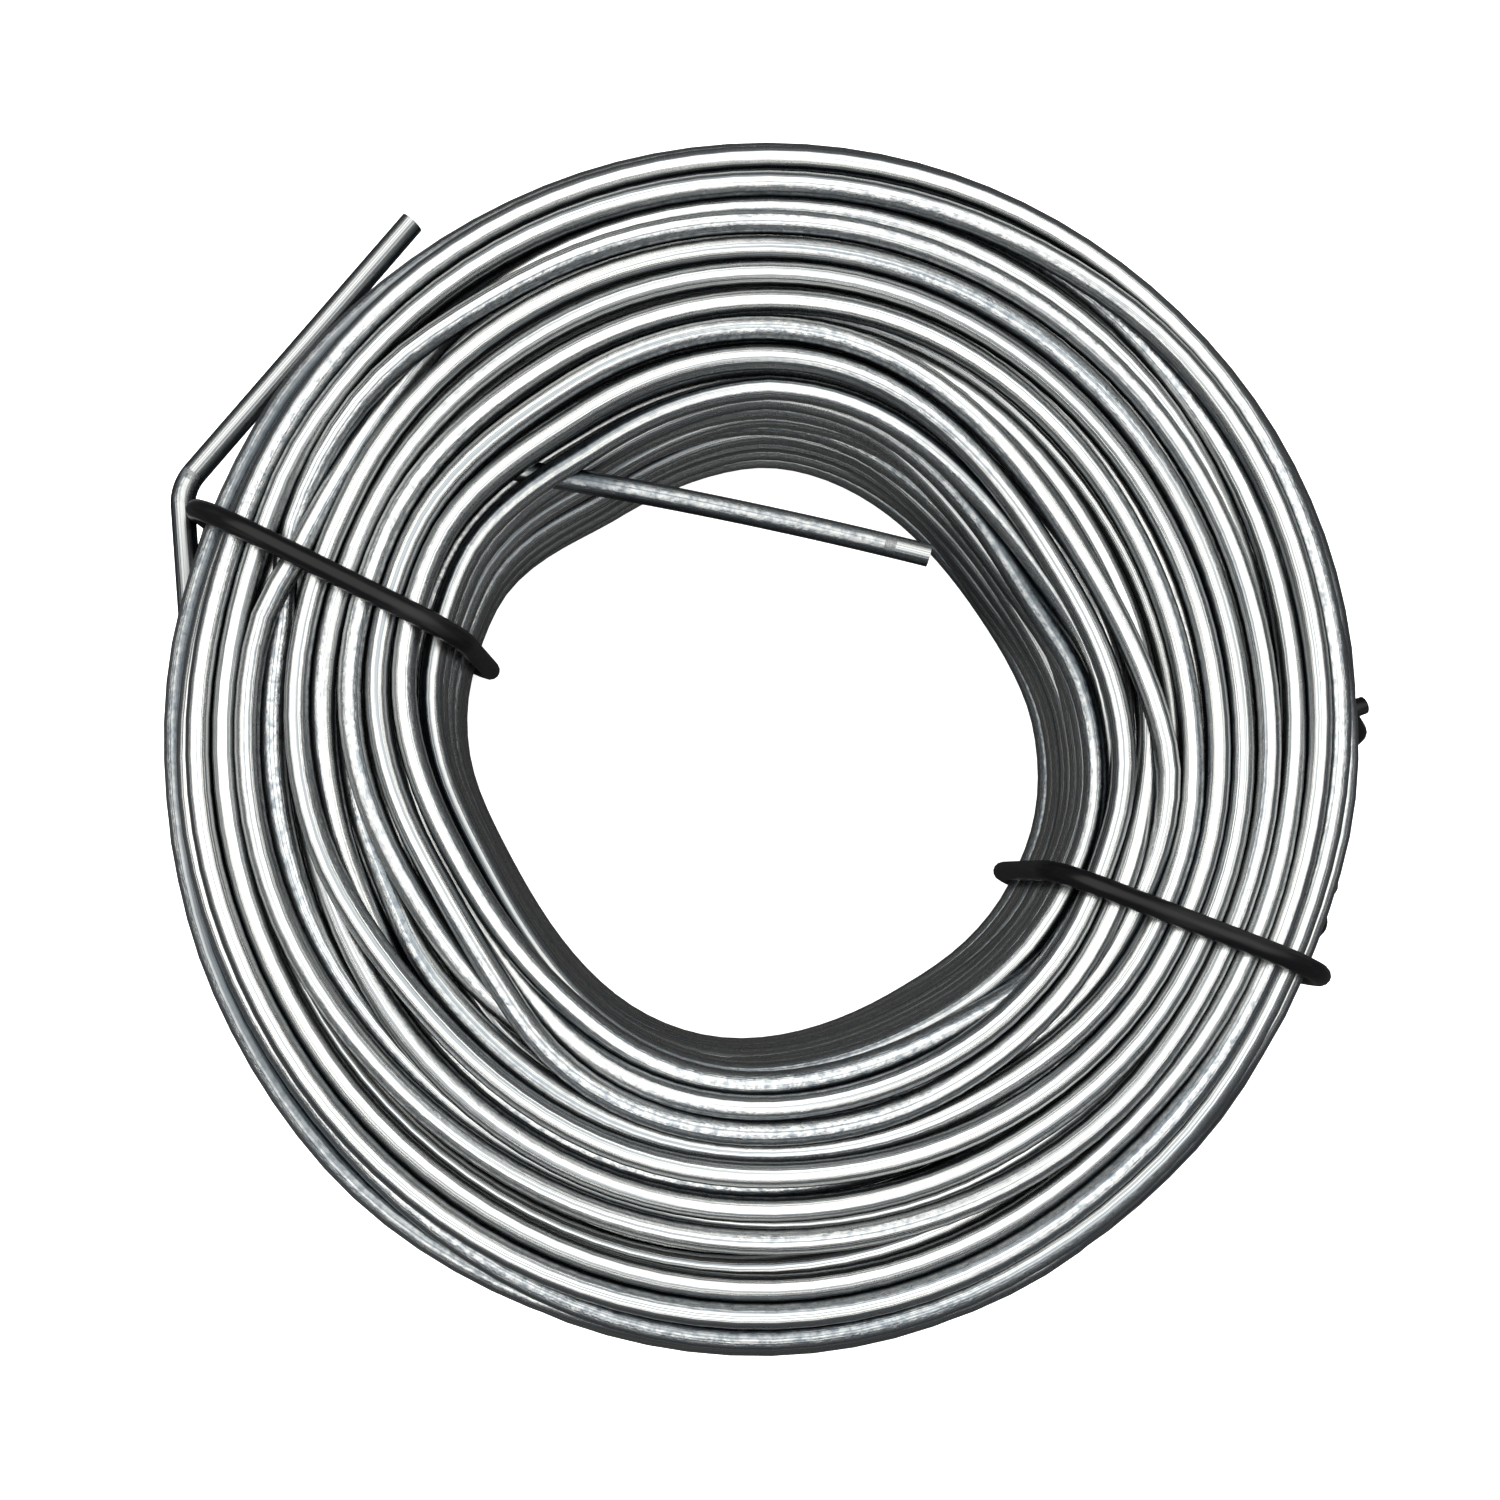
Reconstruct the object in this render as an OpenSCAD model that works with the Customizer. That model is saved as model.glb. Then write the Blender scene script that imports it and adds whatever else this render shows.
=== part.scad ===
// Coil of galvanised tie wire, held by two black coated binding ties.
// Millimetres, +Z up. The coil's axis is the Z axis, and the floor it lies on is z = 0.
// Azimuths are in degrees round the axis, counted from +X towards +Y.

/* [Wire] */
// Diameter of the galvanised wire
wire_d = 2; // [1.2:0.1:2.6]

/* [Coil] */
// Outside diameter over the turns
coil_od = 100; // [86:1:140]
// Clear diameter of the bore between the turns
bore_d = 53; // [44:1:66]
// Height over the turns
coil_h = 22; // [18:1:40]
// Radius of the rounded shoulders on the outside
outer_shoulder_r = 6; // [3:0.5:7.5]
// Radius of the rounded shoulders at the bore
inner_shoulder_r = 3; // [2:0.5:7.5]
// Depth of the groove between neighbouring turns, as a share of the wire's radius
groove_share = 0.65; // [0.3:0.05:0.8]

/* [Outer end of the wire] */
// Turns on the outside between the coil's middle and the groove that the outer end leaves
outer_end_turns = 2; // [1:1:2]
// Azimuth at which it leaves the outermost turns
outer_leave_az = 182; // [178:1:190]
// Azimuth of its sharp bend
outer_bend_az = 158; // [152:1:164]
// Azimuth of its cut tip
outer_tip_az = 124; // [110:1:130]
// Distance from the coil's outside to the wire's middle at the bend and the tip
outer_stand_off = 4.2; // [4.1:0.1:7]
// Bend radius at the wire's middle
outer_bend_r = 5; // [3:0.5:6]

/* [Inner end of the wire] */
// Height of the inner end above the coil's underside
inner_end_h = 17.5; // [8:0.5:18.5]
// Azimuth at which it leaves the innermost turns
inner_leave_az = 137; // [125:1:150]
// Azimuth of its cut tip
inner_tip_az = 47; // [35:1:60]
// Distance from the bore's wall to the wire's middle at the tip
inner_tip_gap = 5.3; // [3:0.1:10]
// How far its middle bows away from a straight line
inner_bow = 0.8; // [0.2:0.1:3]
// Bend radius of that bow, at the wire's middle
inner_bow_r = 90; // [40:5:140]

/* [Ties] */
// Thickness of the coated tie wire
tie_d = 1.7; // [1.4:0.1:2.4]
// Clearance between a tie and the crests of the turns
tie_gap = 0.2; // [0.15:0.05:0.6]
// Azimuth of the left tie
left_tie_az = 161.5; // [157:0.5:166]
// Turn of the left tie's plane away from the radial direction
left_tie_skew = -8; // [-10:1:6]
// Azimuth of the right tie
right_tie_az = -26; // [-40:0.5:10]
// Turn of the right tie's plane away from the radial direction
right_tie_skew = 5; // [-6:1:8]

/* [Twisted tails] */
// Length of the left tail from the loop to its tip
left_tail_len = 12; // [9:1:15]
// Angle at which the left tail runs down towards the floor
left_tail_droop = 40; // [30:1:42]
// Length of the right tail from the loop to its tip
right_tail_len = 28; // [14:1:30]
// Angle at which the right tail runs down towards the floor
right_tail_droop = 19; // [5:1:22]
// Angle at which a tail points away from the coil's side where it starts
tail_splay = 13; // [12:1:30]
// Radius of a tail's curve back round the coil's side
tail_curve_r = 60; // [50:5:150]
// Bend radius of each strand where it leaves the loop
tail_bend_r = 1.6; // [1.3:0.1:2]
// Length of a tail in which the strands turn once round each other
twist_pitch = 8; // [7:0.5:14]
// Clearance between the two strands
strand_gap = 0.06; // [0.02:0.02:0.3]

/* [Hidden] */
$fn = 96;

// Sides of a swept wire, the angle of one step round a bend, and steps in one turn of a twist
wire_sides = 12;
bend_step = 15;
twist_steps = 10;

wire_r = wire_d / 2;
tie_r = tie_d / 2;

// Half the height that the strands need on the coil's side to leave the loop
strand_r = tie_r + strand_gap / 2;
function leave_z(droop) = strand_r / cos(droop);
function strand_turn(droop) = tail_bend_r * tan(45 + droop / 2);
function tail_room(droop) = leave_z(droop) + strand_turn(droop);

// The coil lies on the ties that pass under it.
coil_z = tie_d + tie_gap;
coil_r = coil_od / 2;
bore_r = bore_d / 2;
band_w = coil_r - bore_r;
mid_r = (coil_r + bore_r) / 2;
mid_z = coil_z + coil_h / 2;
most_droop = max(left_tail_droop, right_tail_droop);
outer_shoulder = min(outer_shoulder_r, band_w / 2 - wire_r, coil_h / 2 - tail_room(most_droop));
inner_shoulder = min(inner_shoulder_r, band_w / 2 - wire_r, coil_h / 2 - wire_r);

// Path of the outer turns' middles round the section: a rounded rectangle, measured from the
// outside's middle over the top to the bore's middle, and back underneath
function bend_len(shoulder) = (shoulder - wire_r) * PI / 2;
function quarter_len(shoulder) = coil_h / 2 - shoulder + bend_len(shoulder) + band_w / 2 - shoulder;
outer_quarter = quarter_len(outer_shoulder);
half_len = outer_quarter + quarter_len(inner_shoulder);
turns_shown = floor(2 * half_len / wire_d);
turn_pitch = 2 * half_len / turns_shown;

function over_top(s) = s < half_len;
function in_half(s) = over_top(s) ? s : 2 * half_len - s;
function outside(s) = in_half(s) < outer_quarter;

// Point of the path at s, moved outwards by lift. In its quarter it runs up the side by flat_h, round
// the shoulder by the angle a, and along the level run.
function section_point(s, lift) =
    let (
        shoulder = outside(s) ? outer_shoulder : inner_shoulder,
        t = outside(s) ? in_half(s) : half_len - in_half(s),
        flat_h = coil_h / 2 - shoulder,
        round_len = bend_len(shoulder),
        a = min(max((t - flat_h) / round_len * 90, 0), 90),
        r = shoulder - wire_r + lift,
        x = band_w / 2 - shoulder - max(t - flat_h - round_len, 0) + r * cos(a),
        z = min(t, flat_h) + r * sin(a)
    )
    [outside(s) ? x : -x, over_top(s) ? z : -z];

function polar(r, a) = [r * cos(a), r * sin(a)];
function at_height(p, z) = [p.x, p.y, z];
function unit(v) = v / norm(v);
function part_across(v, along) = unit(v - (v * along) * along);

// Points of the bend at point i of a route, by the directions before and after it
function bend_points(route, i, bend_r) =
    let (
        before = unit(route[i] - route[i - 1]),
        after = unit(route[i + 1] - route[i]),
        turn = acos(before * after),
        inward = part_across(after, before),
        start = route[i] - bend_r * tan(turn / 2) * before,
        steps = ceil(turn / bend_step)
    )
    [
        for (k = [0 : steps])
            let (a = turn * k / steps)
            start + bend_r * (sin(a) * before + (1 - cos(a)) * inward)
    ];

// A route of straight runs with each inner point turned into a bend of its own radius
function bent(route, radii) = [
    route[0],
    for (i = [1 : len(route) - 2]) each bend_points(route, i, radii[i - 1]),
    route[len(route) - 1]
];

function directions(path) = [
    for (i = [0 : len(path) - 1])
        unit(path[min(i + 1, len(path) - 1)] - path[max(i - 1, 0)])
];

// A direction across the path at each of its points, carried along without twisting
function sideways(dirs) = [
    for (i = 0, v = part_across([1, 2, 3], dirs[0]);
        i < len(dirs);
        i = i + 1, v = i < len(dirs) ? part_across(v, dirs[i]) : v) v
];

// Round wire of diameter d swept along a path, with flat cut ends
module swept_wire(path, d) {
    dirs = directions(path);
    sides = sideways(dirs);
    last = (len(path) - 1) * wire_sides;
    rings = [
        for (i = [0 : len(path) - 1], k = [0 : wire_sides - 1])
            let (a = 360 * k / wire_sides)
            path[i] + d / 2 * (cos(a) * sides[i] + sin(a) * cross(dirs[i], sides[i]))
    ];
    walls = [
        for (i = [0 : len(path) - 2], k = [0 : wire_sides - 1])
            let (j = (k + 1) % wire_sides, here = i * wire_sides, next = here + wire_sides)
            each [[here + k, next + k, here + j], [next + k, next + j, here + j]]
    ];
    ends = [
        [for (k = [0 : wire_sides - 1]) k],
        [for (k = [wire_sides - 1 : -1 : 0]) last + k]
    ];
    polyhedron(points = rings, faces = concat(walls, ends));
}

// Section of the turns: the crests of the outer ones, on a core that fills the hidden ones
module turns_section() {
    places = [for (i = [0 : turns_shown - 1]) (i + 0.5) * turn_pitch];
    for (s = places)
        translate(section_point(s, 0))
            circle(d = wire_d);
    polygon([for (s = places) section_point(s, wire_r * (1 - groove_share))]);
}

// Outer end: leaves the side, bends sharply past the left tie and runs straight to its cut tip
module outer_end() {
    z = mid_z + outer_end_turns * turn_pitch;
    root = polar(coil_r - 1.4 * wire_d, outer_leave_az);
    bend = polar(coil_r + outer_stand_off, outer_bend_az);
    tip = polar(coil_r + outer_stand_off, outer_tip_az);
    swept_wire(bent([for (p = [root, bend, tip]) at_height(p, z)], [outer_bend_r]), wire_d);
}

// Inner end: leaves the bore's wall and crosses the bore in a shallow bow
module inner_end() {
    z = coil_z + inner_end_h;
    root = polar(bore_r + 3 * wire_d, inner_leave_az);
    tip = polar(bore_r - inner_tip_gap, inner_tip_az);
    across = unit([root.y - tip.y, tip.x - root.x]);
    bow = (root + tip) / 2 + inner_bow * across;
    swept_wire(bent([for (p = [root, bow, tip]) at_height(p, z)], [inner_bow_r]), wire_d);
}

module wire_coil() {
    color("silver") {
        translate([0, 0, mid_z])
            rotate_extrude()
                translate([mid_r, 0])
                    turns_section();
        outer_end();
        inner_end();
    }
}

// Path of one tie, from the tip of one strand round the section to the tip of the other.
// X points outwards from the section's middle, Y along the coil and Z up. Both strands leave
// the loop on the outside and twist together into a tail that runs down along the coil's side.
function tie_path(skew, tail_len, droop) =
    let (
        off = tie_gap + tie_r,
        outer_bend = outer_shoulder + off,
        inner_bend = inner_shoulder + off,
        loop_w = (band_w / 2 + off) / cos(skew),
        loop_h = coil_h / 2 + off,
        level_way = [sin(tail_splay), cos(tail_splay), 0],
        along = cos(droop) * level_way - [0, 0, sin(droop)],
        upright = sin(droop) * level_way + [0, 0, cos(droop)],
        outward = cross(along, upright),
        root = [loop_w, 0, 0],
        twist_start = strand_turn(droop) + tie_d,
        twist_len = tail_len - twist_start,
        twist_turns = twist_len / twist_pitch,
        steps = ceil(twist_turns * twist_steps),
        strand = function (way, k)
            let (
                a = 360 * twist_turns * k / steps,
                c = (twist_start + twist_len * k / steps) / tail_curve_r * 180 / PI
            )
            root + tail_curve_r * (sin(c) * along - (1 - cos(c)) * outward)
                + way * strand_r * (cos(a) * upright + sin(a) * (cos(c) * outward + sin(c) * along)),
        route = [
            strand(1, 0),
            root + [0, 0, leave_z(droop)],
            [loop_w, 0, loop_h],
            [-loop_w, 0, loop_h],
            [-loop_w, 0, -loop_h],
            [loop_w, 0, -loop_h],
            root - [0, 0, leave_z(droop)],
            strand(-1, 0)
        ],
        radii = [tail_bend_r, outer_bend, inner_bend, inner_bend, outer_bend, tail_bend_r]
    )
    concat(
        [for (k = [steps : -1 : 1]) strand(1, k)],
        bent(route, radii),
        [for (k = [1 : steps]) strand(-1, k)]
    );

// One tie round the coil at an azimuth, with its plane turned by skew
module tie(az, skew, tail_len, droop) {
    color([0.1, 0.1, 0.11])
        rotate(az)
            translate([mid_r, 0, mid_z])
                rotate(skew)
                    swept_wire(tie_path(skew, tail_len, droop), tie_d);
}

module tie_left() {
    tie(left_tie_az, left_tie_skew, left_tail_len, left_tail_droop);
}

module tie_right() {
    tie(right_tie_az, right_tie_skew, right_tail_len, right_tail_droop);
}

wire_coil();
tie_left();
tie_right();
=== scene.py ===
"""Coil of galvanised tie wire, bound by two black coated ties, on a pale floor.

Sizes of the coil and its ties are in mm until the meshes are made, and azimuths are in degrees
from +X towards +Y. Sizes of the set are in metres.
"""

import logging
import math
from dataclasses import dataclass
from enum import Enum

import bpy
import numpy as np
from mathutils import Matrix, Vector


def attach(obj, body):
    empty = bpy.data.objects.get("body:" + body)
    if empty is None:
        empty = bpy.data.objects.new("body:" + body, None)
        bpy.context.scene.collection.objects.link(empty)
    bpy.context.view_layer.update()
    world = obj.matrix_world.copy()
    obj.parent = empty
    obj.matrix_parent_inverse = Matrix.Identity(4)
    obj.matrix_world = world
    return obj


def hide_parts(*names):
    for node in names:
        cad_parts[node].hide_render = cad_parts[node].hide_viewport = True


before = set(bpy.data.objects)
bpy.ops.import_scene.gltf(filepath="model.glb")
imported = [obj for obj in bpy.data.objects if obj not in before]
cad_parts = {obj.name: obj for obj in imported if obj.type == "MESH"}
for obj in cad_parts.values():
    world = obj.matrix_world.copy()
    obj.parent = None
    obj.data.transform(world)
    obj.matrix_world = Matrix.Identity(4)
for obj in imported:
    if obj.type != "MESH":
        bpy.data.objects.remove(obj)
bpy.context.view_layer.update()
LOG = logging.getLogger("tie_wire_coil")
BODY = "root"

Pair = tuple[float, float]
Triple = tuple[float, float, float]
Colour = tuple[float, float, float, float]
Knots = tuple[Pair, ...]

MM = 0.001
# Added to a length before it divides, so that it is never zero
TINY = 1e-6
# Edges between faces that meet at a larger angle stay sharp
SMOOTH_ANGLE = math.radians(50)
# Azimuths of the ties
LEFT_TIE_AT = 161.5
RIGHT_TIE_AT = -26.0
# Attribute with a wire's own coordinates: metres along it, then the cosine and sine round it
WIRE_WAY = "wire_way"
# Metres between the coordinates of two runs of wire in one mesh
RUN_SHIFT = 1.0
# Attribute of painted light and shade: how far a spot on the wire faces out of the coil's section,
# painted bright on crests and painted dark on flanks between turns
PAINTED_LIGHT = "painted_light"
# Nodes that shade a material and a world
PRINCIPLED = "Principled BSDF"
BACKGROUND = "Background"
# Sockets of a Mix node that mixes colours
MIX_SHARE, MIX_FIRST, MIX_SECOND, MIX_RESULT = 0, 6, 7, 2


class Slot(Enum):
    """The record's material slots."""

    WIRE = "galvanised_wire"
    TIE = "black_coating"


def polar(radius: float, azimuth: float) -> np.ndarray:
    """A point in the plan at a radius and an azimuth."""
    a = math.radians(azimuth)
    return np.array([radius * math.cos(a), radius * math.sin(a)])


def unit(v: np.ndarray) -> np.ndarray:
    """The vector at length one."""
    return v / np.linalg.norm(v)


def smooth_step(t: np.ndarray) -> np.ndarray:
    """Zero before t = 0 and one after t = 1, with a smooth rise between."""
    t = np.clip(t, 0.0, 1.0)
    return t * t * (3.0 - 2.0 * t)


def round_the_clock(azimuth: np.ndarray, knots: Knots) -> np.ndarray:
    """Smooth periodic curve through values given at a few azimuths.

    Args:
        azimuth: Where the curve is wanted.
        knots: Pairs of azimuth and value, by rising azimuth within one turn.

    Returns:
        The value at each azimuth.
    """
    places = np.array([k[0] for k in knots], float)
    values = np.array([k[1] for k in knots], float)
    places = np.concatenate([[places[-1] - 360.0], places, [places[0] + 360.0]])
    values = np.concatenate([[values[-1]], values, [values[0]]])
    a = (np.asarray(azimuth, float) - places[0]) % 360.0 + places[0]
    i = np.clip(np.searchsorted(places, a, side="right") - 1, 0, len(places) - 2)
    t = smooth_step((a - places[i]) / (places[i + 1] - places[i]))
    return values[i] * (1.0 - t) + values[i + 1] * t


def bent(route: list[np.ndarray], radii: list[float], step: float = 6.0) -> list[np.ndarray]:
    """A route of straight runs with each inner point turned into a round bend.

    Args:
        route: Corner points.
        radii: Bend radius at each inner point.
        step: Angle between points along a bend, in degrees.

    Returns:
        Points along the bent route.
    """
    points = [route[0]]
    for i, radius in enumerate(radii, start=1):
        before = unit(route[i] - route[i - 1])
        after = unit(route[i + 1] - route[i])
        turn = math.acos(float(np.clip(before @ after, -1.0, 1.0)))
        inward = unit(after - (after @ before) * before)
        start = route[i] - radius * math.tan(turn / 2) * before
        count = max(2, math.ceil(math.degrees(turn) / step))
        for a in np.linspace(0.0, turn, count + 1):
            points.append(start + radius * (math.sin(a) * before + (1 - math.cos(a)) * inward))
    points.append(route[-1])
    return points


def evened(points: np.ndarray, spacing: float) -> np.ndarray:
    """The same path with points at about even spacing.

    Args:
        points: Points of the path.
        spacing: Distance that is wanted between two points.

    Returns:
        The new points.
    """
    steps = np.linalg.norm(np.diff(points, axis=0), axis=1)
    way = np.concatenate([[0.0], np.cumsum(steps)])
    places = np.linspace(0.0, way[-1], max(2, round(way[-1] / spacing) + 1))
    return np.stack([np.interp(places, way, points[:, k]) for k in range(3)], axis=1)


def relaxed(points: np.ndarray, passes: int) -> np.ndarray:
    """The same path with its kinks eased, while its ends stay.

    Args:
        points: Points of the path.
        passes: How many times each point goes half way to the middle of its neighbours.

    Returns:
        The new points.
    """
    points = points.copy()
    for _ in range(passes):
        points[1:-1] += 0.5 * ((points[:-2] + points[2:]) / 2 - points[1:-1])
    return points


class Field:
    """A shader socket that takes part in Python expressions."""

    def __init__(self, shader: "Shader", socket: bpy.types.NodeSocket) -> None:
        """Wrap an output socket of a shader's node."""
        self.shader = shader
        self.socket = socket

    def _math(self, operation: str, other: object) -> "Field":
        """Add one Math node."""
        return self.shader.node("ShaderNodeMath", {"operation": operation}, {0: self, 1: other})

    def __add__(self, other: object) -> "Field":
        """Sum."""
        return self._math("ADD", other)

    __radd__ = __add__

    def __mul__(self, other: object) -> "Field":
        """Product."""
        return self._math("MULTIPLY", other)

    __rmul__ = __mul__

    def band(self, low: float, high: float) -> "Field":
        """Zero below low and one above high, with a smooth rise between."""
        settings = {"interpolation_type": "SMOOTHSTEP", "clamp": True}
        sockets = {"Value": self, "From Min": low, "From Max": high}
        return self.shader.node("ShaderNodeMapRange", settings, sockets)


class Shader:
    """The nodes of a material or a world, written as expressions."""

    def __init__(self, owner: bpy.types.ID, surface: str) -> None:
        """Start from the owner's first nodes.

        Args:
            owner: The material or world.
            surface: Name of the node that shades it.
        """
        owner.use_nodes = True
        self.tree = owner.node_tree
        self.surface = self.tree.nodes[surface]

    def node(
        self,
        kind: str,
        settings: dict[str, object],
        sockets: dict[object, object],
        out: object = 0,
    ) -> Field:
        """Add a node.

        Args:
            kind: The node's type.
            settings: Attributes that are set first.
            sockets: Values or fields, by input name or number.
            out: The output that is returned.

        Returns:
            The output as a field.
        """
        made = self.tree.nodes.new(kind)
        for key, value in settings.items():
            setattr(made, key, value)
        for key, value in sockets.items():
            self._feed(made.inputs[key], value)
        return Field(self, made.outputs[out])

    def _feed(self, socket: bpy.types.NodeSocket, value: object) -> None:
        """Link a field to a socket, or set a plain value on it.

        Args:
            socket: The input socket.
            value: The field or the value.
        """
        if isinstance(value, Field):
            self.tree.links.new(value.socket, socket)
        else:
            socket.default_value = value

    def set(self, **sockets: object) -> None:
        """Feed the inputs of the node that shades, with _ for a space in a name."""
        for key, value in sockets.items():
            self._feed(self.surface.inputs[key.replace("_", " ")], value)

    def attribute(self, name: str, out: str = "Vector") -> Field:
        """An attribute of the piece, as a vector or as a number."""
        return self.node("ShaderNodeAttribute", {"attribute_name": name}, {}, out)

    def glossy_ray(self) -> Field:
        """One where a glossy surface mirrors this spot, and zero elsewhere."""
        return self.node("ShaderNodeLightPath", {}, {}, "Is Glossy Ray")

    def noise(
        self, vector: Field, stretch: Triple, detail: float = 3.0, roughness: float = 0.5
    ) -> Field:
        """A noise texture's value.

        Args:
            vector: Coordinates of the surface.
            stretch: Number that each of them is multiplied by.
            detail: The texture's detail.
            roughness: The texture's roughness.

        Returns:
            The value as a field.
        """
        times = {"operation": "MULTIPLY"}
        cells = self.node("ShaderNodeVectorMath", times, {0: vector, 1: stretch})
        sockets = {"Vector": cells, "Scale": 1.0, "Detail": detail, "Roughness": roughness}
        return self.node("ShaderNodeTexNoise", {}, sockets)

    def mixed(self, share: Field, first: Colour | Field, second: Colour | Field) -> Field:
        """Two colours mixed by a share of the second.

        Args:
            share: Share of the second colour.
            first: The first colour.
            second: The second colour.

        Returns:
            The mixed colour as a field.
        """
        settings = {"data_type": "RGBA", "clamp_factor": True}
        sockets = {MIX_SHARE: share, MIX_FIRST: first, MIX_SECOND: second}
        return self.node("ShaderNodeMix", settings, sockets, MIX_RESULT)

    def bump(self, height: Field, strength: float, distance: float) -> Field:
        """A normal from a height."""
        sockets = {"Height": height, "Strength": strength, "Distance": distance}
        return self.node("ShaderNodeBump", {}, sockets)


@dataclass(frozen=True)
class GalvanisedSteel:
    """Bright drawn wire with a thin zinc coat, dull in patches and scratched along its length.

    Its flanks carry painted shade, where the turns beside them would shade them. Each stretch
    counts a noise's cells in a metre along the wire, and then round it.
    """

    bright: Colour = (0.49, 0.495, 0.488, 1.0)
    dull: Colour = (0.15, 0.185, 0.225, 1.0)
    line: Colour = (0.1, 0.125, 0.15, 1.0)
    # Painted shade for the wire's flanks, where turns shade each other
    painted_flank_shade: Colour = (0.05, 0.06, 0.07, 1.0)
    bright_roughness: float = 0.27
    dull_roughness: float = 0.42
    line_roughness: float = 0.08
    dull_share: float = 0.8
    line_share: float = 0.75
    patch_stretch: Triple = (18.0, 0.4, 0.4)
    patch_band: Pair = (0.44, 0.64)
    grain_stretch: Triple = (1500.0, 2.2, 2.2)
    grain_roughness: float = 0.7
    grain_band: Pair = (0.35, 0.7)
    line_stretch: Triple = (10.0, 6.0, 6.0)
    line_noise_roughness: float = 0.65
    line_band: Pair = (0.51, 0.6)
    # Band of painted light over which the painted flank shade gives way to the coat
    painted_light_band: Pair = (0.1, 0.75)
    relief: float = 0.8
    bump_strength: float = 0.4
    bump_depth: float = 0.0001

    def make(self) -> bpy.types.Material:
        """Build the material, with painted shade on the wire's flanks and the coat on its crests.

        Returns:
            The material.
        """
        material = bpy.data.materials.new(Slot.WIRE.value)
        s = Shader(material, PRINCIPLED)
        way = s.attribute(WIRE_WAY)
        painted_light = s.attribute(PAINTED_LIGHT, "Fac")
        patches = s.noise(way, self.patch_stretch).band(*self.patch_band)
        grain = s.noise(way, self.grain_stretch, roughness=self.grain_roughness)
        draw_lines = s.noise(way, self.line_stretch, roughness=self.line_noise_roughness)
        mottle = patches * grain.band(*self.grain_band)
        scratch = draw_lines.band(*self.line_band)
        coat = s.mixed(mottle * self.dull_share, self.bright, self.dull)
        worn = s.mixed(scratch * self.line_share, coat, self.line)
        duller = self.dull_roughness - self.bright_roughness
        rough = self.bright_roughness + mottle * duller + scratch * self.line_roughness
        height = draw_lines * self.relief + mottle * grain * self.relief
        s.set(
            # Painted light: the coat on crests, painted shade on flanks between turns
            Base_Color=s.mixed(painted_light.band(*self.painted_light_band), self.painted_flank_shade, worn),
            Roughness=rough,
            Metallic=1.0,
            Normal=s.bump(height, self.bump_strength, self.bump_depth),
        )
        return material


@dataclass(frozen=True)
class BlackCoating:
    """Glossy black coat on the tie wire, with a faint orange peel and rubbed crests."""

    black: Colour = (0.003, 0.003, 0.0035, 1.0)
    rubbed: Colour = (0.011, 0.011, 0.012, 1.0)
    black_roughness: float = 0.3
    rubbed_roughness: float = 0.2
    specular: float = 0.14
    rub_stretch: Triple = (120.0, 0.8, 0.8)
    rub_band: Pair = (0.5, 0.75)
    peel_stretch: Triple = (900.0, 1.6, 1.6)
    peel_detail: float = 2.0
    bump_strength: float = 0.15
    bump_depth: float = 0.00008

    def make(self) -> bpy.types.Material:
        """Build the material.

        Returns:
            The material.
        """
        material = bpy.data.materials.new(Slot.TIE.value)
        s = Shader(material, PRINCIPLED)
        way = s.attribute(WIRE_WAY)
        rub = s.noise(way, self.rub_stretch).band(*self.rub_band)
        peel = s.noise(way, self.peel_stretch, self.peel_detail)
        s.set(
            Base_Color=s.mixed(rub, self.black, self.rubbed),
            Roughness=self.black_roughness + rub * self.rubbed_roughness,
            Specular_IOR_Level=self.specular,
            Normal=s.bump(peel, self.bump_strength, self.bump_depth),
        )
        return material


@dataclass(frozen=True)
class PaleFloor:
    """Matt white sheet that the coil lies on."""

    white: Colour = (0.9, 0.9, 0.9, 1.0)
    roughness: float = 0.9
    glow: float = 0.75
    mirrored: float = 0.03

    def make(self) -> bpy.types.Material:
        """Build the material, which shows dark where the bright wire mirrors it.

        Returns:
            The material.
        """
        material = bpy.data.materials.new("pale_floor")
        s = Shader(material, PRINCIPLED)
        dark = (*(c * self.mirrored for c in self.white[:3]), 1.0)
        colour = s.mixed(s.glossy_ray(), self.white, dark)
        s.set(
            Base_Color=colour,
            Roughness=self.roughness,
            Specular_IOR_Level=0.0,
            Emission_Color=colour,
            Emission_Strength=self.glow,
        )
        return material


def tube(name: str, routes: list[np.ndarray], diameter: float, sides: int) -> bpy.types.Object:
    """Round wire along each route, as one mesh with its own coordinates.

    Args:
        name: Name of the piece.
        routes: Points of each run of wire.
        diameter: Thickness of the wire.
        sides: Sides of its section, an even number.

    Returns:
        The mesh object, at the origin.
    """
    curve = bpy.data.curves.new(name, "CURVE")
    curve.dimensions = "3D"
    curve.bevel_depth = diameter / 2 * MM
    curve.bevel_resolution = sides // 2 - 2
    curve.use_fill_caps = True
    ways = []
    for route in routes:
        spline = curve.splines.new("POLY")
        spline.points.add(len(route) - 1)
        co = np.ones((len(route), 4))
        co[:, :3] = route * MM
        spline.points.foreach_set("co", co.ravel())
        steps = np.linalg.norm(np.diff(route, axis=0), axis=1) * MM
        ways.append(np.concatenate([[0.0], np.cumsum(steps)]))
    piece = bpy.data.objects.new(name, curve)
    bpy.context.scene.collection.objects.link(piece)
    bpy.ops.object.select_all(action="DESELECT")
    piece.select_set(True)
    bpy.context.view_layer.objects.active = piece
    bpy.ops.object.convert(target="MESH")
    bpy.ops.object.shade_smooth_by_angle(angle=SMOOTH_ANGLE)
    piece = bpy.context.view_layer.objects.active
    carry_wire_way(piece.data, ways, sides)
    return piece


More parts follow.
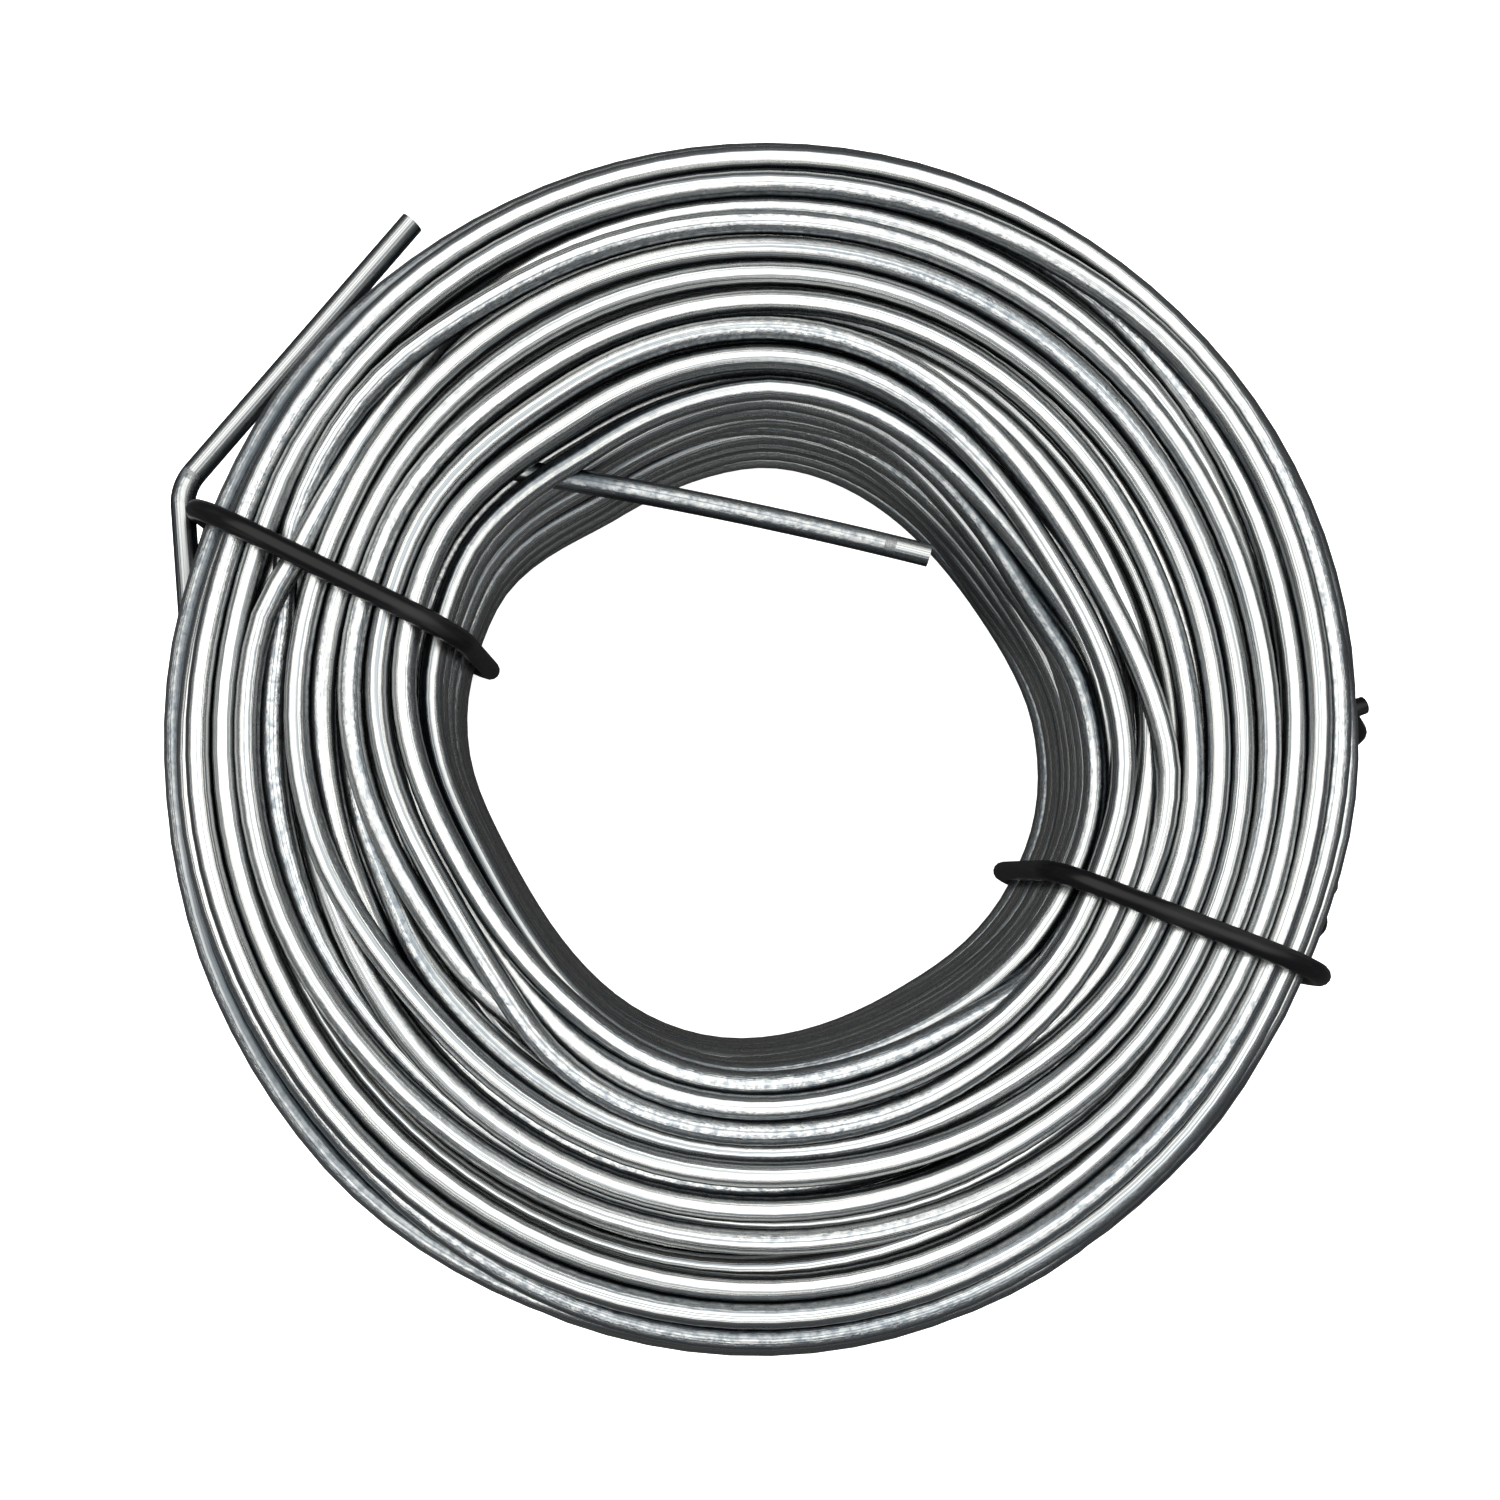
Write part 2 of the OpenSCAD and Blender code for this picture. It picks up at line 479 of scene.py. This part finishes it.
def carry_wire_way(mesh: bpy.types.Mesh, ways: list[np.ndarray], sides: int) -> None:
    """Store each vertex's place along and round its wire as an attribute.

    Args:
        mesh: Mesh with one ring of vertices for each point of each run, and two caps a run.
        ways: Metres along each run, at each of its points.
        sides: Vertices in a ring.
    """
    angle = np.arange(sides) * 2 * math.pi / sides
    rings = []
    shift = 0.0
    for way in ways:
        ring = np.empty((len(way), sides, 3))
        ring[:, :, 0] = (way + shift)[:, None]
        ring[:, :, 1] = np.cos(angle)
        ring[:, :, 2] = np.sin(angle)
        rings.append(ring.reshape(-1, 3))
        shift += way[-1] + RUN_SHIFT
    # Two caps follow each run's rings, so a later run's places sit two rings along, and the last
    # vertices start again from the first ring. Neither shows.
    values = np.resize(np.concatenate(rings), (len(mesh.vertices), 3))
    layer = mesh.attributes.new(WIRE_WAY, "FLOAT_VECTOR", "POINT")
    layer.data.foreach_set("vector", values.astype(np.float32).ravel())


@dataclass
class Room:
    """Limits of the turns at each station of one turn."""

    bore_below: np.ndarray
    bore_above: np.ndarray
    outside: np.ndarray
    low: np.ndarray
    high: np.ndarray
    loose: np.ndarray

    def bore(self, z: np.ndarray) -> np.ndarray:
        """Radius of the bore at each level."""
        rise = np.clip((z - self.low) / (self.high - self.low), 0, 1)
        return self.bore_below + (self.bore_above - self.bore_below) * rise


@dataclass
class CoilSection:
    """Space that the turns take up round the coil, as a rounded rectangle at each azimuth.

    The bore's foot, its rim and its pull, and the swell of the outer side, are curves round the
    coil, as pairs of azimuth and value.
    """

    bore_r: float = 26.5
    coil_r: float = 50.0
    low_z: float = 1.9
    high_z: float = 23.9
    outer_shoulder: float = 6.0
    inner_shoulder: float = 3.0
    slack_above: float = 0.25
    slack_below: float = 1.5
    tie_azimuths: Pair = (LEFT_TIE_AT, RIGHT_TIE_AT)
    tie_reach: float = 34.0
    bore_foot: Knots = (
        (2.0, 26.3), (45.0, 25.0), (91.0, 26.6), (122.0, 25.6), (178.0, 26.9),
        (225.0, 25.8), (267.0, 26.8), (310.0, 26.4),
    )
    bore_rim: Knots = (
        (2.0, 26.2), (40.0, 24.4), (75.0, 27.6), (92.0, 28.4), (137.0, 28.4),
        (180.0, 26.6), (225.0, 25.8), (270.0, 27.6), (315.0, 27.8),
    )
    bore_pull: Knots = (
        (32.0, -2.2), (78.0, -1.4), (122.0, -2.4), (153.0, 0.0), (170.0, 0.0),
        (205.0, -1.4), (250.0, 0.4), (298.0, -0.9), (328.0, 0.0), (338.0, 0.0),
    )
    pull_depth: float = 15.0
    swell: Knots = (
        (2.0, 0.0), (50.0, 1.0), (115.0, 0.0), (161.5, -0.9), (200.0, -0.3),
        (235.0, 0.7), (270.0, 1.3), (300.0, 0.2), (334.0, -0.9),
    )

    @property
    def mid_r(self) -> float:
        """Radius of the section's middle."""
        return (self.bore_r + self.coil_r) / 2

    @property
    def mid_z(self) -> float:
        """Level of the section's middle."""
        return (self.low_z + self.high_z) / 2

    @property
    def half_r(self) -> float:
        """Half the section's width."""
        return (self.coil_r - self.bore_r) / 2

    @property
    def half_z(self) -> float:
        """Half the section's height."""
        return (self.high_z - self.low_z) / 2

    def holds(self, r: float, z: float, margin: float) -> bool:
        """Whether a place lies inside the rounded rectangle.

        Args:
            r: Radius of the place.
            z: Level of the place.
            margin: Distance that it has to be inside by.

        Returns:
            True if it does.
        """
        shoulder = self.outer_shoulder if r > self.mid_r else self.inner_shoulder
        over_r = max(abs(r - self.mid_r) - self.half_r + shoulder, 0.0)
        over_z = max(abs(z - self.mid_z) - self.half_z + shoulder, 0.0)
        return math.hypot(over_r, over_z) <= shoulder - margin

    def pulled(self, r: np.ndarray, azimuth: np.ndarray) -> np.ndarray:
        """Radius of each turn after the bore is drawn towards its corners and flats."""
        near = smooth_step((self.bore_r + self.pull_depth - r) / self.pull_depth)
        return r + round_the_clock(azimuth, self.bore_pull) * near

    def room(self, azimuth: np.ndarray) -> Room:
        """Limits of the turns, tight at the ties and loose between them.

        Args:
            azimuth: Azimuth of each station.

        Returns:
            The limits at each station.
        """
        loose = np.ones_like(azimuth)
        for tie in self.tie_azimuths:
            away = np.abs((azimuth - tie + 180.0) % 360.0 - 180.0)
            loose = loose * smooth_step(away / self.tie_reach)
        foot = round_the_clock(azimuth, self.bore_foot)
        rim = round_the_clock(azimuth, self.bore_rim)
        return Room(
            bore_below=self.bore_r + (foot - self.bore_r) * loose,
            bore_above=self.bore_r + (rim - self.bore_r) * loose,
            outside=self.coil_r + round_the_clock(azimuth, self.swell),
            low=self.low_z - self.slack_below * loose,
            high=self.high_z + self.slack_above * loose,
            loose=loose,
        )


@dataclass(frozen=True)
class PaintedLightAndShade:
    """Painted light and shade of the wound wire, by how far each spot faces out of the coil's
    section.

    Spots facing out keep the coat; spots facing into the section, between turns, get painted
    shade. Turns on the outer rim get painted shade on top but for a thin painted highlight. The
    free ends, which stand clear of the section, get a painted highlight on top and painted shade
    on their sides.
    """

    corner_power: int = 5
    rim_width: float = 3.0
    rim_rise: float = 2.5
    # Painted shade on the outer rim's tops, and the thin painted highlight left on them
    rim_painted_shade: float = 0.22
    rim_painted_highlight: float = 0.62
    painted_highlight_power: int = 3
    free_in_bore: float = 5.0
    free_off_side: float = 0.9
    free_rise: float = 1.0
    # Painted highlight on the free ends' tops, with painted shade on their sides
    free_painted_top_light: float = 0.5

    def carry(self, mesh: bpy.types.Mesh, section: CoilSection) -> None:
        """Store the painted light and shade for each vertex as an attribute.

        Args:
            mesh: Mesh of wound wire.
            section: The coil's section.
        """
        count = len(mesh.vertices)
        co, normal = np.empty(count * 3, np.float32), np.empty(count * 3, np.float32)
        mesh.vertices.foreach_get("co", co)
        mesh.vertex_normals.foreach_get("vector", normal)
        co, normal = co.reshape(-1, 3) / MM, normal.reshape(-1, 3)
        r = np.hypot(co[:, 0], co[:, 1])
        x = (r - section.mid_r) / section.half_r
        y = (co[:, 2] - section.mid_z) / section.half_z
        out = np.stack([x**self.corner_power, y**self.corner_power], axis=1)
        out /= np.linalg.norm(out, axis=1)[:, None] + TINY
        across = (normal[:, 0] * co[:, 0] + normal[:, 1] * co[:, 1]) / r
        # Painted light: bright where the wire faces out of the section, painted shade where it
        # faces the turns beside it
        painted_light = across * out[:, 0] + normal[:, 2] * out[:, 1]
        top = np.maximum(normal[:, 2], 0.0)
        rim = smooth_step((r - section.coil_r + self.rim_width) / self.rim_rise)
        # Painted shade on the outer rim's tops, but for a thin painted highlight
        painted_glint = self.rim_painted_highlight * top**self.painted_highlight_power * rim
        painted_light = np.maximum(painted_light - self.rim_painted_shade * top * rim, painted_glint)
        in_bore = smooth_step((section.bore_r - r) / self.free_in_bore)
        off_side = smooth_step((r - section.coil_r - self.free_off_side) / self.free_rise)
        # Free ends: painted highlight on top, painted shade on their sides
        painted_light = painted_light + (self.free_painted_top_light * top - painted_light) * np.maximum(in_bore, off_side)
        layer = mesh.attributes.new(PAINTED_LIGHT, "FLOAT", "POINT")
        layer.data.foreach_set("value", painted_light.astype(np.float32))


@dataclass
class Winding:
    """One wire wound in layers from the bore outwards, then let settle.

    The innermost strands of the top row follow the rim that the photo shows, with a wedge shaped
    gap among them. The rim and the wedge are curves round the coil, as pairs of azimuth and value.
    """

    section: CoilSection
    wire_d: float = 2.0
    stations: int = 96
    layer_pitch: float = 2.1
    layer_nest: float = 1.82
    row_pitch: float = 1.92
    press_in: float = 0.35
    start_azimuth: float = 180.0
    end_level: float = 16.98
    end_stand: float = 0.3
    seed: int = 12
    # Shares of a turn: how long the wire takes to cross to its next place, and where it does so
    cross_share: Pair = (0.18, 0.4)
    cross_middle: Pair = (0.25, 0.75)
    wander: float = 0.45
    wander_step: int = 20
    # Settling: how many passes, and how far each one straightens, keeps and parts the turns
    passes: int = 240
    straighten: float = 0.35
    keep: float = 0.03
    top_keep: float = 0.07
    push: float = 0.36
    top_lift: float = 0.35
    top_ease: float = 0.1
    top_strands: int = 7
    top_pitch: float = 2.03
    top_fade: float = 8.5
    top_rim: Knots = (
        (2.0, 26.8), (30.0, 25.6), (51.0, 26.4), (72.0, 28.8), (92.0, 29.8), (118.0, 30.0),
        (137.0, 29.4), (180.0, 28.4), (225.0, 27.4), (271.0, 28.2), (307.0, 28.6), (331.0, 28.2),
    )
    wedge_at: int = 3
    wedge: Knots = (
        (0.0, 0.2), (35.0, 1.5), (60.0, 1.1), (88.0, 0.3), (130.0, 0.0), (200.0, 0.0),
        (240.0, 0.4), (270.0, 0.0), (310.0, 0.7), (340.0, 0.2),
    )

    def strand(self, number: int, azimuth: np.ndarray) -> np.ndarray:
        """Radius of one of the top strands.

        Args:
            number: Number of the strand, counted from the rim.
            azimuth: Azimuth of each station.

        Returns:
            The radius at each station.
        """
        rim = round_the_clock(azimuth, self.top_rim)
        fade = 1.0 - number / self.top_fade
        radius = rim.mean() + (rim - rim.mean()) * fade + number * self.top_pitch
        if number >= self.wedge_at:
            full = 1.0 - self.wedge_at / self.top_fade
            radius = radius + round_the_clock(azimuth, self.wedge) * fade / full
        return radius

    def slots(self) -> list[tuple[float, float, int]]:
        """Places of the turns in the section, in winding order.

        Returns:
            Radius and level of each turn, with its number among the top strands, or -1.
        """
        s = self.section
        edge = self.wire_d / 2
        first = s.bore_r + edge
        rows = math.floor((s.high_z - s.low_z - self.wire_d) / self.row_pitch) + 1
        lowest = (s.low_z + s.high_z - (rows - 1) * self.row_pitch) / 2
        width = s.coil_r - edge - first - self.layer_nest
        layers = math.floor(width / self.layer_pitch) + 2
        order: list[tuple[float, float, int]] = []
        for i in range(layers):
            climb = range(rows) if i % 2 == 0 else range(rows - 1, -1, -1)
            for j in climb:
                stagger = (i - 1 + 0.5 * (j % 2)) * self.layer_pitch
                r = first + (self.layer_nest + stagger if i else 0.0)
                z = lowest + j * self.row_pitch
                if s.holds(r, z, edge - self.press_in):
                    order.append((r, z, i if j == rows - 1 and i < self.top_strands else -1))
        order.append((s.coil_r - edge + self.end_stand, self.end_level, -1))
        return order

    def azimuths(self) -> np.ndarray:
        """Azimuth of each station in one turn, in the order that the wire runs."""
        return self.start_azimuth - np.arange(self.stations) * 360.0 / self.stations

    def lay(self) -> tuple[np.ndarray, np.ndarray]:
        """Lay the turns in their places, before they settle.

        Returns:
            Radius and level of each turn at each station.
        """
        order = self.slots()
        rng = np.random.default_rng(self.seed)
        azimuth = self.azimuths()
        share = np.arange(self.stations) / self.stations
        r = np.empty((len(order), self.stations))
        z = np.empty_like(r)
        for k, (radius, level, _) in enumerate(order):
            nxt = order[min(k + 1, len(order) - 1)]
            width = rng.uniform(*self.cross_share)
            middle = rng.uniform(*self.cross_middle)
            t = smooth_step((share - middle + width / 2) / width)
            r[k] = radius * (1 - t) + nxt[0] * t
            z[k] = level * (1 - t) + nxt[1] * t
        r += self.wandering(rng, r.size).reshape(r.shape)
        z += self.wandering(rng, z.size).reshape(z.shape)
        s = self.section
        room = s.room(azimuth)
        bore = room.bore(z)
        r = bore + (r - s.bore_r) / (s.coil_r - s.bore_r) * (room.outside - bore)
        ease = smooth_step(share / self.top_ease) * smooth_step((1 - share) / self.top_ease)
        for k, (_, level, number) in enumerate(order):
            if number >= 0:
                drift = self.wandering(rng, self.stations)
                r[k] = r[k] * (1 - ease) + (self.strand(number, azimuth) + drift) * ease
                z[k] = z[k] * (1 - ease) + (level + self.top_lift) * ease
        return r, z

    def wandering(self, rng: np.random.Generator, count: int) -> np.ndarray:
        """Slow random drift along the wire.

        Args:
            rng: Source of the random draws.
            count: Number of stations.

        Returns:
            The drift at each station.
        """
        knots = rng.normal(0.0, self.wander, count // self.wander_step + 3)
        # Just short of the last knot, so that each place has a knot after it
        places = np.linspace(0.0, len(knots) - 1.001, count)
        i = places.astype(int)
        t = smooth_step(places - i)
        return knots[i] * (1 - t) + knots[i + 1] * t

    def settle(self) -> tuple[np.ndarray, np.ndarray]:
        """Let the turns push each other apart within the section.

        Returns:
            Radius and level of each turn at each station.
        """
        r, z = self.lay()
        r, z = r.astype(np.float32), z.astype(np.float32)
        r_aim, z_aim = r.copy(), z.copy()
        room = self.section.room(self.azimuths())
        on_top = np.array([slot[2] >= 0 for slot in self.slots()])
        roof = room.high + self.top_lift * room.loose * on_top[:, None]
        keep = np.repeat(np.where(on_top, self.top_keep, self.keep), self.stations)
        keep = keep.astype(np.float32)
        gap = np.float32(self.wire_d)
        own = np.eye(len(r), dtype=bool)[:, :, None]
        for step in range(self.passes):
            late = step / self.passes
            for v, aim in ((r, r_aim), (z, z_aim)):
                flat = v.reshape(-1)
                flat[1:-1] += self.straighten * ((flat[:-2] + flat[2:]) / 2 - flat[1:-1])
                flat += (1 - late) * keep * (aim.reshape(-1) - flat)
            dr = r[:, None] - r[None]
            dz = z[:, None] - z[None]
            away = np.sqrt(dr * dr + dz * dz) + TINY
            push = np.where(own, 0, np.maximum(gap - away, 0)) / away * np.float32(self.push)
            r += (dr * push).sum(1)
            z += (dz * push).sum(1)
            self.hold(r, z, room, roof)
        return r.astype(float), z.astype(float)

    def hold(self, r: np.ndarray, z: np.ndarray, room: Room, roof: np.ndarray) -> None:
        """Move turns that stand outside the section's rounded rectangle back into it, in place.

        Args:
            r: Radius of each turn at each station.
            z: Level of each turn at each station.
            room: Limits at each station.
            roof: Highest level of each turn at each station.
        """
        inner = room.bore(z)
        mid_r, mid_z = (inner + room.outside) / 2, (room.low + roof) / 2
        x, y = r - mid_r, z - mid_z
        edge = np.where(x > 0, self.section.outer_shoulder, self.section.inner_shoulder)
        reach_r = (room.outside - inner) / 2 - edge
        reach_z = (roof - room.low) / 2 - edge
        over_x = np.sign(x) * np.maximum(np.abs(x) - reach_r, 0)
        over_y = np.sign(y) * np.maximum(np.abs(y) - reach_z, 0)
        away = np.sqrt(over_x**2 + over_y**2) + TINY
        back = np.minimum((edge - self.wire_d / 2) / away, 1) - 1
        r += (over_x * back).astype(r.dtype)
        z += (over_y * back).astype(z.dtype)

    def path(self) -> np.ndarray:
        """Wind the wire and let it settle.

        Returns:
            Points of the whole wound wire.
        """
        r, z = self.settle()
        a = np.radians(np.tile(self.azimuths(), len(r)))
        flat = self.section.pulled(r, self.azimuths()).ravel()
        return np.stack([flat * np.cos(a), flat * np.sin(a), z.ravel()], axis=1)


@dataclass
class WireCoil:
    """The coil: one galvanised wire with its two free ends.

    The bend and the tips are pairs of radius and azimuth.
    """

    winding: Winding
    sides: int = 12
    outer_bend: Pair = (52.9, 157.8)
    outer_tip: Pair = (52.8, 124.9)
    bend_r: float = 4.0
    inner_level: float = 19.4
    inner_root: Pair = (32.05, 137.9)
    inner_tip: Pair = (19.5, 46.4)
    inner_bow: float = 0.45
    inner_points: int = 40
    turns_in_piece: int = 56

    def outer_end(self, last: np.ndarray) -> np.ndarray:
        """The outer end, past its sharp bend to the cut tip.

        Args:
            last: Last point of the wound wire.

        Returns:
            Points from that point to the tip.
        """
        level = self.winding.end_level
        bend = np.append(polar(*self.outer_bend), level)
        tip = np.append(polar(*self.outer_tip), level)
        return np.array(bent([last, bend, tip], [self.bend_r]))

    def inner_end(self) -> np.ndarray:
        """The inner end, from among the turns across the bore to the cut tip.

        Returns:
            Points from its root to the tip.
        """
        root, tip = polar(*self.inner_root), polar(*self.inner_tip)
        way = unit(tip - root)
        across = np.array([-way[1], way[0]])
        t = np.linspace(0.0, 1.0, self.inner_points)
        bow = self.inner_bow * 4 * t * (1 - t)
        plan = root + t[:, None] * (tip - root) + bow[:, None] * across
        return np.column_stack([plan, np.full(len(t), self.inner_level)])

    def build(self, finish: bpy.types.Material) -> list[bpy.types.Object]:
        """Wind the wire, make its pieces and dress them.

        Args:
            finish: Material of the wire.

        Returns:
            The pieces, from the bore outwards.
        """
        path = self.winding.path()
        count = self.turns_in_piece * self.winding.stations
        end = self.outer_end(path[-1])[1:]
        runs = [path[:count + 1], np.concatenate([path[count:], end])]
        length = sum(np.linalg.norm(np.diff(run, axis=0), axis=1).sum() for run in runs) * MM
        LOG.info("wound wire: %.2f m in %d turns", length, len(self.winding.slots()))
        wire_d = self.winding.wire_d
        pieces = [
            tube("wire_inner_turns", [runs[0], self.inner_end()], wire_d, self.sides),
            tube("wire_outer_turns", [runs[1]], wire_d, self.sides),
        ]
        self.dress(pieces, finish)
        return pieces

    def dress(self, pieces: list[bpy.types.Object], finish: bpy.types.Material) -> None:
        """Give the pieces their painted light and shade, their finish and their place in the
        frame.

        Args:
            pieces: The pieces of wire.
            finish: Material of the wire.
        """
        for piece in pieces:
            PaintedLightAndShade().carry(piece.data, self.winding.section)
            piece.data.materials.append(finish)
            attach(piece, BODY)
        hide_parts("wire_coil")


@dataclass
class BindingTie:
    """One tie round the coil's section, with its two ends twisted together into a tail.

    In the tie's own frame the section's middle is the origin and +X points out of the coil.
    """

    name: str
    node: str
    azimuth: float
    skew: float
    tail_len: float
    droop: float
    tie_d: float = 1.7
    gap: float = 0.2
    splay: float = 13.0
    curve_r: float = 60.0
    flare_at: float = 18.0
    flare_r: float = 22.0
    pinch: float = 0.9
    bend_r: float = 1.6
    pitch: float = 8.0
    strand_gap: float = 0.06
    # Share of the tail after which its strands part, and how far they do
    fray_from: float = 0.85
    fray: float = 0.35
    tail_points: int = 60
    spacing: float = 0.5
    easing: int = 3
    sides: int = 14

    @property
    def strand_r(self) -> float:
        """Distance of a strand's middle from the tail's axis."""
        return (self.tie_d + self.strand_gap) / 2

    def tail(self, root: np.ndarray) -> tuple[np.ndarray, np.ndarray]:
        """The two strands of the tail.

        Args:
            root: Point on the outer side that the tail leaves from.

        Returns:
            Points of the upper and of the lower strand, from the coil to the tip.
        """
        droop, splay = math.radians(self.droop), math.radians(self.splay)
        level_way = np.array([math.sin(splay), math.cos(splay), 0.0])
        up = np.array([0.0, 0.0, 1.0])
        along = math.cos(droop) * level_way - math.sin(droop) * up
        upright = math.sin(droop) * level_way + math.cos(droop) * up
        outward = np.cross(along, upright)
        start = self.bend_r * math.tan(math.pi / 4 + droop / 2) + self.tie_d
        t = np.linspace(0.0, 1.0, self.tail_points)
        way = start + (self.tail_len - start) * t
        flare = np.maximum(way - self.flare_at, 0.0) / self.flare_r
        curve = (way / self.curve_r - flare)[:, None]
        heading = np.cos(curve) * along - np.sin(curve) * outward
        begun = start / self.curve_r / 2
        first = start * (math.cos(begun) * along - math.sin(begun) * outward)
        steps = (heading[1:] + heading[:-1]) / 2 * np.diff(way)[:, None]
        axis = root + first + np.concatenate([np.zeros((1, 3)), np.cumsum(steps, axis=0)])
        aside = np.cos(curve) * outward + np.sin(curve) * along
        parted = smooth_step((t - self.fray_from) / (1 - self.fray_from))
        apart = self.strand_r * (1 + self.fray * parted)[:, None]
        turn = 2 * math.pi * (self.tail_len - start) / self.pitch * t
        spiral = apart * (np.cos(turn)[:, None] * upright + np.sin(turn)[:, None] * aside)
        return axis + spiral, axis - spiral

    def path(self, section: CoilSection) -> np.ndarray:
        """The whole tie, from the tip of one strand round the section to the tip of the other.

        Args:
            section: The coil's section.

        Returns:
            Points of the tie, in its place on the coil.
        """
        off = self.gap + self.tie_d / 2
        w = (section.half_r + off) / math.cos(math.radians(self.skew))
        h = section.half_z + off
        out = w - self.pinch
        root = np.array([out, 0.0, 0.0])
        upper, lower = self.tail(root)
        leave = np.array([0.0, 0.0, self.strand_r / math.cos(math.radians(self.droop))])
        places = ((out, 0.0, h), (-w, 0.0, h), (-w, 0.0, -h), (out, 0.0, -h))
        corners = [np.array(place) for place in places]
        outer_r, inner_r = section.outer_shoulder + off, section.inner_shoulder + off
        route = [upper[0], root + leave, *corners, root - leave, lower[0]]
        loop = bent(route, [self.bend_r, outer_r, inner_r, inner_r, outer_r, self.bend_r])
        points = np.concatenate([upper[:0:-1], np.array(loop), lower[1:]])
        return self.placed(relaxed(evened(points, self.spacing), self.easing), section)

    def placed(self, points: np.ndarray, section: CoilSection) -> np.ndarray:
        """Points from the tie's own frame, moved to its place on the coil.

        Args:
            points: Points in the tie's own frame.
            section: The coil's section.

        Returns:
            The moved points.
        """
        place = (
            Matrix.Rotation(math.radians(self.azimuth), 4, "Z")
            @ Matrix.Translation(Vector((section.mid_r, 0.0, section.mid_z)))
            @ Matrix.Rotation(math.radians(self.skew), 4, "Z")
        )
        m = np.array(place)
        return points @ m[:3, :3].T + m[:3, 3]

    def build(self, section: CoilSection, finish: bpy.types.Material) -> bpy.types.Object:
        """Make the tie and dress it.

        Args:
            section: The coil's section.
            finish: Material of the tie.

        Returns:
            The piece.
        """
        piece = tube(self.name, [self.path(section)], self.tie_d, self.sides)
        self.dress(piece, finish)
        return piece

    def dress(self, piece: bpy.types.Object, finish: bpy.types.Material) -> None:
        """Give the piece its finish and its place in the frame.

        Args:
            piece: The tie.
            finish: Material of the tie.
        """
        piece.data.materials.append(finish)
        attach(piece, BODY)
        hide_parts(self.node)


@dataclass
class Studio:
    """Floor, soft light and camera."""

    floor_size: float = 4.0
    lamp_place: Triple = (-0.06, 0.06, 0.6)
    lamp_size: float = 1.0
    lamp_power: float = 10.0
    lamp_colour: Triple = (1.0, 0.985, 0.94)
    room_colour: Colour = (0.9, 0.9, 0.9, 1.0)
    mirrored_room: Colour = (0.1, 0.112, 0.13, 1.0)
    lens: float = 35.5
    sensor_width: float = 36.0
    clip_start: float = 0.005
    eye: Triple = (-0.0072, -0.0124, 0.1405)
    target: Triple = (-0.0018, -0.0026, 0.024)

    def build(self) -> None:
        """Make the whole set."""
        self.floor()
        self.lamp()
        self.room()
        self.camera()
        bpy.context.scene.view_settings.view_transform = "Standard"

    def floor(self) -> None:
        """Pale floor under the coil."""
        bpy.ops.object.select_all(action="DESELECT")
        bpy.ops.mesh.primitive_plane_add(size=self.floor_size, location=(0.0, 0.0, 0.0))
        floor = bpy.context.view_layer.objects.active
        floor.name = "pale_floor"
        floor.data.materials.append(PaleFloor().make())

    def lamp(self) -> None:
        """Broad square lamp overhead, aimed at the origin."""
        data = bpy.data.lights.new("overhead", "AREA")
        data.size = self.lamp_size
        data.energy = self.lamp_power
        data.color = self.lamp_colour
        lamp = bpy.data.objects.new("overhead", data)
        lamp.location = self.lamp_place
        lamp.rotation_mode = "QUATERNION"
        lamp.rotation_quaternion = (-Vector(self.lamp_place)).to_track_quat("-Z", "Y")
        bpy.context.scene.collection.objects.link(lamp)

    def room(self) -> None:
        """Pale room that shows dim where the bright wire mirrors it."""
        world = bpy.data.worlds.new("room")
        s = Shader(world, BACKGROUND)
        s.set(Color=s.mixed(s.glossy_ray(), self.room_colour, self.mirrored_room))
        bpy.context.scene.world = world

    def camera(self) -> None:
        """Camera above the coil, with +Y up in the picture."""
        data = bpy.data.cameras.new("camera")
        data.lens = self.lens
        data.sensor_width = self.sensor_width
        data.clip_start = self.clip_start
        camera = bpy.data.objects.new("camera", data)
        eye = Vector(self.eye)
        back = (eye - Vector(self.target)).normalized()
        right = Vector((1.0, 0.0, 0.0))
        right = (right - back * right.dot(back)).normalized()
        up = back.cross(right)
        turn = Matrix((right, up, back)).transposed()
        camera.matrix_world = Matrix.Translation(eye) @ turn.to_4x4()
        bpy.context.scene.collection.objects.link(camera)
        bpy.context.scene.camera = camera


def main() -> None:
    """Build the coil, its ties and the set."""
    logging.basicConfig(level=logging.INFO)
    section = CoilSection()
    coil = WireCoil(Winding(section))
    for piece in coil.build(GalvanisedSteel().make()):
        LOG.info("%s: %d faces", piece.name, len(piece.data.polygons))
    coating = BlackCoating().make()
    ties = [
        BindingTie(
            "left_tie", "tie_left",
            azimuth=LEFT_TIE_AT, skew=-8.0, tail_len=12.0, droop=40.0, curve_r=34.0,
        ),
        BindingTie(
            "right_tie", "tie_right",
            azimuth=RIGHT_TIE_AT, skew=5.0, tail_len=28.0, droop=19.0,
        ),
    ]
    for tie in ties:
        piece = tie.build(section, coating)
        LOG.info("%s: %d faces", piece.name, len(piece.data.polygons))
    Studio().build()


if __name__ == "__main__":
    main()
